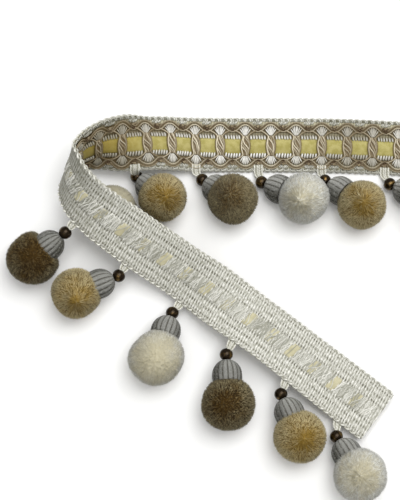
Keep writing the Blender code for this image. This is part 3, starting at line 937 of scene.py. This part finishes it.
# Threads of a hanger loop, which come through to the face.
# Columns: half the distance between the two legs, shade, share by which the loop is shorter.
LOOP_THREADS = ((1.7, 0.9, 0.1), (1.05, 0.15, 0.0), (0.4, 0.8, 0.05))
# Columns: place across the heading, height.
LOOP_LEG = ((-9.3, 1.1), (-10.8, 1.35), (-12.2, 0.8))


def hanger(tassel):
    """Threads that leave the heading side by side, pass through the bead's hole and come back."""
    place = tassel.bar * BAR_PITCH
    middle, along, across, _ = (part[0] for part in heading.frames(place))
    root = middle - across * (BRAID_HALF + 2 * GAP)
    reach = tassel.bead - root
    reach = reach * (1 - (BEAD_HALF_LENGTH - 0.4) / np.linalg.norm(reach))
    turn = np.linspace(0, math.pi, 13)[1:-1, None]
    wide = np.sign(np.cos(turn)) * np.abs(np.cos(turn)) ** 0.7
    bundle = Bundle()
    for half, tone, shorter in LOOP_THREADS:
        drop = reach * (1 - shorter)
        loop = root - along * half * wide + drop * np.sin(turn) ** 0.7
        legs = [heading.lay([(place + end, w, h) for w, h in LOOP_LEG]) for end in (-half, half)]
        path = np.concatenate([legs[0], loop, legs[1][::-1]])
        run = distances(path)
        path = smooth(run, path, np.linspace(0, run[-1], 34))
        up = unit(np.cross(along, drop))
        radius = 0.45 * taper(34, 0.05, 0.5)
        bundle.yarn(path, radius, tone, sides=6, pitch=1.2, depth=0.25, up=up)
    tassel.build(bundle, "loop", loop_material, "cream_thread", "hanger")


def bead(tassel):
    """A round bead with a rubbed rim at each hole."""
    angles = np.radians(np.linspace(20, 160, 13))
    places = np.concatenate([[-0.78], -np.cos(angles), [0.78]]) * BEAD_HALF_LENGTH * 1.04
    sizes = np.concatenate([[0.16], np.sin(angles) ** 0.9, [0.16]]) * BEAD_RADIUS
    rings = []
    for place, size in zip(places, sizes):
        rings.append(tassel.ring(tassel.bead + tassel.axis * place, np.full(24, size)))
    bundle = Bundle()
    bundle.tube(np.array(rings), (0.5, 0.5, 0.5))
    tassel.build(bundle, "bronze_bead", bronze_material, "bronze_bead", "bead")


# Rows: share of the skirt's length, share of its radius.
SKIRT_PROFILE = (
    (-0.035, 0.03, 0.12, 0.24, 0.38, 0.54, 0.72, 0.9, 1.07),
    (0.36, 0.52, 0.68, 0.82, 0.93, 1.0, 1.03, 1.02, 0.97),
)
SKIRT_RIBS = 17
RIB_POINTS = 6
# Where the skirts' painted light comes from: up and towards the key lamp.
SKIRT_PAINTED_LIGHT = unit(np.array([0.25, 0.2, 0.95]))


def skirt(tassel):
    """A bell of wound silk: ribs from the bead to the mouth, each wrapped with fine thread."""
    random = np.random.default_rng(60 + tassel.number)
    around = SKIRT_RIBS * RIB_POINTS
    crest = np.abs(np.cos(math.pi * np.arange(around) / RIB_POINTS)) ** 0.7
    rib = (np.arange(around) + RIB_POINTS // 2) // RIB_POINTS % SKIRT_RIBS
    # Rib tones: painted light towards that direction and a little random tone per rib; the lip inside
    # the mouth is darker.
    painted_light = limit(1.25 * tassel.out(around) @ SKIRT_PAINTED_LIGHT - 0.1) ** 2.6
    tone = 0.18 * random.uniform(0, 1, SKIRT_RIBS)[rib] + 0.82 * painted_light
    profile = np.array(SKIRT_PROFILE).T
    places = np.linspace(profile[0, 0], profile[-1, 0], 24)
    sizes = smooth(profile[:, 0], profile[:, 1:], places)[:, 0]
    rings = []
    for i, (place, size) in enumerate(zip(places, sizes)):
        wrap = 0.07 * np.where((rib + i) % 2 == 0, 1, -1) * limit(2 * place)
        radii = size * SKIRT_RADIUS * (0.925 + 0.075 * crest) + wrap
        rings.append(tassel.ring(tassel.neck + tassel.axis * place * SKIRT_LENGTH, radii))
    rings.append(tassel.ring(tassel.mouth - 0.4 * tassel.axis, np.full(around, 0.7 * SKIRT_RADIUS)))
    marks = grid(crest, places[:, None] * SKIRT_LENGTH, tone)
    marks = np.concatenate([marks, marks[-1:] * (0.2, 1, 1)])
    bundle = Bundle()
    bundle.tube(np.array(rings), marks)
    tassel.build(bundle, "silk_skirt", silk_material, "silver_silk", "skirt")


class Neighbours:
    """What a pompom is pressed in by: the other tassels, the heading and the floor."""

    STEP = 0.1
    CLEAR = 0.35

    def __init__(self):
        bars = np.arange(FIRST_END, LAST_END, self.STEP)
        self.middle, self.along, self.across, self.front = heading.frames(bars * BAR_PITCH)

    def meets(self, own, points):
        """Which of the points lie in something else."""
        hit = points[:, 2] < 0.05
        near = np.linalg.norm(self.middle - own.centre, axis=1) < own.radius + 20
        offset = points[:, None] - self.middle[near]
        close = abs((offset * self.along[near]).sum(-1)) < self.STEP * BAR_PITCH
        inside = abs((offset * self.across[near]).sum(-1)) < BRAID_HALF + self.CLEAR
        height = (offset * self.front[near]).sum(-1)
        tall = (height > -BAND_THICK / 2 - self.CLEAR - 0.3) & (height < BAR_TOP + self.CLEAR)
        hit |= (close & inside & tall).any(axis=1)
        past_own = np.linalg.norm(points - own.centre, axis=1) - own.radius
        for other in tassels:
            if other is own or np.linalg.norm(other.centre - own.centre) > 60:
                continue
            reach = other.mouth - other.bead
            share = np.clip((points - other.bead) @ reach / (reach @ reach), 0, 1)
            gap = np.linalg.norm(points - other.bead - share[:, None] * reach, axis=1)
            hit |= gap < SKIRT_RADIUS + self.CLEAR
            past_other = np.linalg.norm(points - other.centre, axis=1) - other.radius
            hit |= past_other < np.minimum(past_own + self.CLEAR, self.CLEAR)
        return hit


def core_sphere():
    """Directions and triangles of an even ball."""
    ball = bmesh.new()
    bmesh.ops.create_icosphere(ball, subdivisions=4, radius=1.0)
    directions = np.array([v.co for v in ball.verts])
    tris = np.array([[v.index for v in face.verts] for face in ball.faces])
    ball.free()
    return unit(directions), tris


def pile_reach(tassel, neighbours, directions, random):
    """How far the pile reaches each way: uneven, dented, cut at the skirt and pressed in."""
    bumps = unit(random.normal(size=(26, 3)))
    weights = random.uniform(-1, 1, 26)
    away = ((directions[:, None] - bumps) ** 2).sum(-1)
    share = 1.01 + 0.026 * (np.exp(-away / 0.1) * weights).sum(axis=1)
    for number, right, up, depth, spread in DENTS:
        if number == tassel.number:
            toward = unit(np.array([right, UP_Y * up, UP_Z * up + 0.1]))
            share -= depth * np.exp(-((directions - toward) ** 2).sum(axis=1) / spread**2)
    reach = tassel.radius * share
    seat = (tassel.seat + 1.5) / np.clip(-(directions @ tassel.axis), 0.02, 1)
    reach = (reach**-32.0 + seat**-32.0) ** (-1 / 32)
    pressed = np.ones(len(reach), bool)
    while pressed.any():
        index = np.flatnonzero(pressed)
        hit = neighbours.meets(tassel, tassel.centre + reach[index, None] * directions[index])
        reach[index[hit]] -= 0.15
        pressed[index[~hit]] = False
        pressed[reach < 3.0] = False
    return reach


def pompom(tassel, neighbours, directions, tris):
    """A ball of cut pile round a parting: a core under thousands of fine tufts."""
    random = np.random.default_rng(40 + tassel.number)
    reach = pile_reach(tassel, neighbours, directions, random)
    star = tassel.angle(directions)
    depth = reach - PILE * 0.5 - tassel.hollow * bell(star, 0, 0.2)
    core = tassel.centre + depth[:, None] * directions
    core[:, 2] = np.maximum(core[:, 2], 0.4)
    bundle = Bundle()
    # The core takes the root colour: painted shade deep in the pile.
    bundle.add(core, grid(0.1, limit(0.5 + tassel.yarn_shift_and_shade), tassel.sheen_paleness(star)), tris=tris)

    # Each tuft grows from an even spread of points on the core and leans away from the parting.
    cross = np.cross(core[tris[:, 1]] - core[tris[:, 0]], core[tris[:, 2]] - core[tris[:, 0]])
    area = np.linalg.norm(cross, axis=1)
    chosen = tris[random.choice(len(tris), TUFTS, p=area / area.sum())]
    weight = random.dirichlet((1, 1, 1), TUFTS)
    at = unit((directions[chosen] * weight[:, :, None]).sum(axis=1))
    length = (reach[chosen] * weight).sum(axis=1)
    angle = tassel.angle(at)
    near = tassel.hollow * bell(angle, 0, 0.6)
    outward = at - (at @ tassel.parting)[:, None] * tassel.parting
    outward = unit(outward - (outward * at).sum(axis=1)[:, None] * at + 1e-6)
    outward = (0.25 * tassel.hollow + 1.5 * near)[:, None] * outward
    lean = unit(at + outward + 0.22 * random.normal(size=at.shape))
    rise = (lean * at).sum(axis=1)
    hollow = 0.8 * tassel.hollow * bell(angle, 0, 0.2)
    tall = PILE * (1 + 0.5 * near)
    root = tassel.centre + (length - hollow - tall * rise)[:, None] * at
    root -= 0.6 * tall[:, None] * (lean - rise[:, None] * at)
    tip = root + (tall * random.uniform(0.84, 1.07, TUFTS))[:, None] * lean
    side = unit(np.cross(lean, random.normal(size=at.shape)))
    other = np.cross(lean, side)
    width = (random.uniform(0.18, 0.32, TUFTS) * (1 + 0.35 * near))[:, None]
    turns = math.tau * np.arange(3) / 3
    corners = [root + width * (math.cos(turn) * side + math.sin(turn) * other) for turn in turns]
    points = np.stack([*corners, tip], axis=1).reshape(-1, 3)
    points[:, 2] = np.maximum(points[:, 2], FLOOR_CLEAR + 0.01)
    # Random tuft tones, moved by the yarn's shift; for tassel 6 that shift is painted shade.
    tone = limit(random.uniform(0, 1, TUFTS) + tassel.yarn_shift_and_shade)[:, None]
    marks = grid((0.2, 0.2, 0.2, 1.0), tone, tassel.sheen_paleness(angle)[:, None]).reshape(-1, 3)
    base = np.arange(TUFTS)[:, None] * 4
    faces = np.concatenate([base + face for face in ((0, 1, 3), (1, 2, 3), (2, 0, 3))])
    bundle.add(points, marks, tris=faces)
    pile = pile_materials[tassel.colour]
    tassel.build(bundle, "pile", pile, f"{tassel.colour}_pile", "pompom")


def floor_and_lights():
    """A plain pale floor under two large soft lights above the camera and a pale sky."""
    bpy.ops.mesh.primitive_plane_add(size=6.0, location=(0.0, 0.0, -0.0006))
    floor = bpy.context.object
    floor.name = "floor"
    floor.data.materials.append(Shade("pale floor", 0.9, specular=0.1).finish((250, 250, 249)))
    world = bpy.context.scene.world or bpy.data.worlds.new("studio")
    bpy.context.scene.world = world
    world.use_nodes = True
    sky = world.node_tree.nodes["Background"]
    sky.inputs["Color"].default_value = (1.0, 1.0, 1.0, 1.0)
    sky.inputs["Strength"].default_value = 0.45
    for name, place, size, power in (
        ("key", (0.3, 0.3, 1.1), 0.9, 10.0),
        ("fill", (-0.1, -0.15, 1.15), 1.0, 4.0),
    ):
        lamp = bpy.data.lights.new(name, "AREA")
        lamp.shape = "SQUARE"
        lamp.size = size
        lamp.energy = power
        light = bpy.data.objects.new(name, lamp)
        bpy.context.scene.collection.objects.link(light)
        light.location = place
        light.rotation_euler = (-Vector(place)).to_track_quat("-Z", "Y").to_euler()


def camera():
    """The photograph's view: from above, looking along +Y and 78 degrees down."""
    elevation = math.radians(78.12)
    distance = 0.6874
    target = Vector((-CENTRE[0] * MM, -CENTRE[1] * MM, 0.0))
    lens = bpy.data.cameras.new("camera")
    lens.sensor_fit = "VERTICAL"
    lens.sensor_height = 36.0
    lens.lens = 110.8
    eye = bpy.data.objects.new("camera", lens)
    bpy.context.scene.collection.objects.link(eye)
    eye.location = target + distance * Vector((0, -math.cos(elevation), math.sin(elevation)))
    eye.rotation_euler = (target - eye.location).to_track_quat("-Z", "Y").to_euler()
    bpy.context.scene.camera = eye


camera()
floor_and_lights()
bpy.context.scene.view_settings.view_transform = "Standard"

cord_material = yarn_material("gimp yarn", (116, 99, 66), (238, 228, 202), (90, 75, 48))
knot_material = yarn_material("knot yarn", (76, 54, 28), (214, 198, 160), (54, 38, 20))
white_material = yarn_material("white thread", (126, 116, 88), (252, 251, 246), (146, 142, 120))
picot_material = yarn_material("picot thread", (112, 110, 88), (246, 245, 236), (92, 90, 68))
loop_material = yarn_material("loop thread", (142, 140, 122), (240, 239, 229), (112, 110, 92))
floats_material = floss_material("float threads", (236, 235, 227), (150, 149, 133))
gold_velvet = velvet_material("gold velvet", (174, 165, 98), (198, 189, 126), (118, 106, 50))
window_material = velvet_material("pale ribbon back", (188, 182, 150), (207, 201, 170), (158, 151, 118))
silk_material = skirt_material()
bronze_material = bead_material()

# Columns: colours at the roots, round the parting, of the tips and at the rim, share of speckle.
# The roots' colour is painted shade deep in the pile, the rim's a painted sheen; both also tint random
# tufts.
PILES = {
    "gold": ((92, 72, 26), (140, 113, 46), (190, 158, 80), (216, 202, 158), 0.05),
    "white": ((182, 177, 157), (198, 191, 163), (214, 206, 177), (236, 237, 232), 0.05),
    "brown": ((34, 22, 4), (80, 59, 22), (128, 103, 56), (168, 156, 120), 0.5),
}
pile_materials = {name: pile_material(f"{name} pile", *row) for name, row in PILES.items()}

band = weave_band()
ribbon = velvet_ribbon()
gimp_cords()
gimp_bars()
knots()
fans()
ticks()
picots()
back_floats()
neighbours = Neighbours()
ball = core_sphere()
for tassel in tassels:
    hanger(tassel)
    bead(tassel)
    skirt(tassel)
    pompom(tassel, neighbours, *ball)
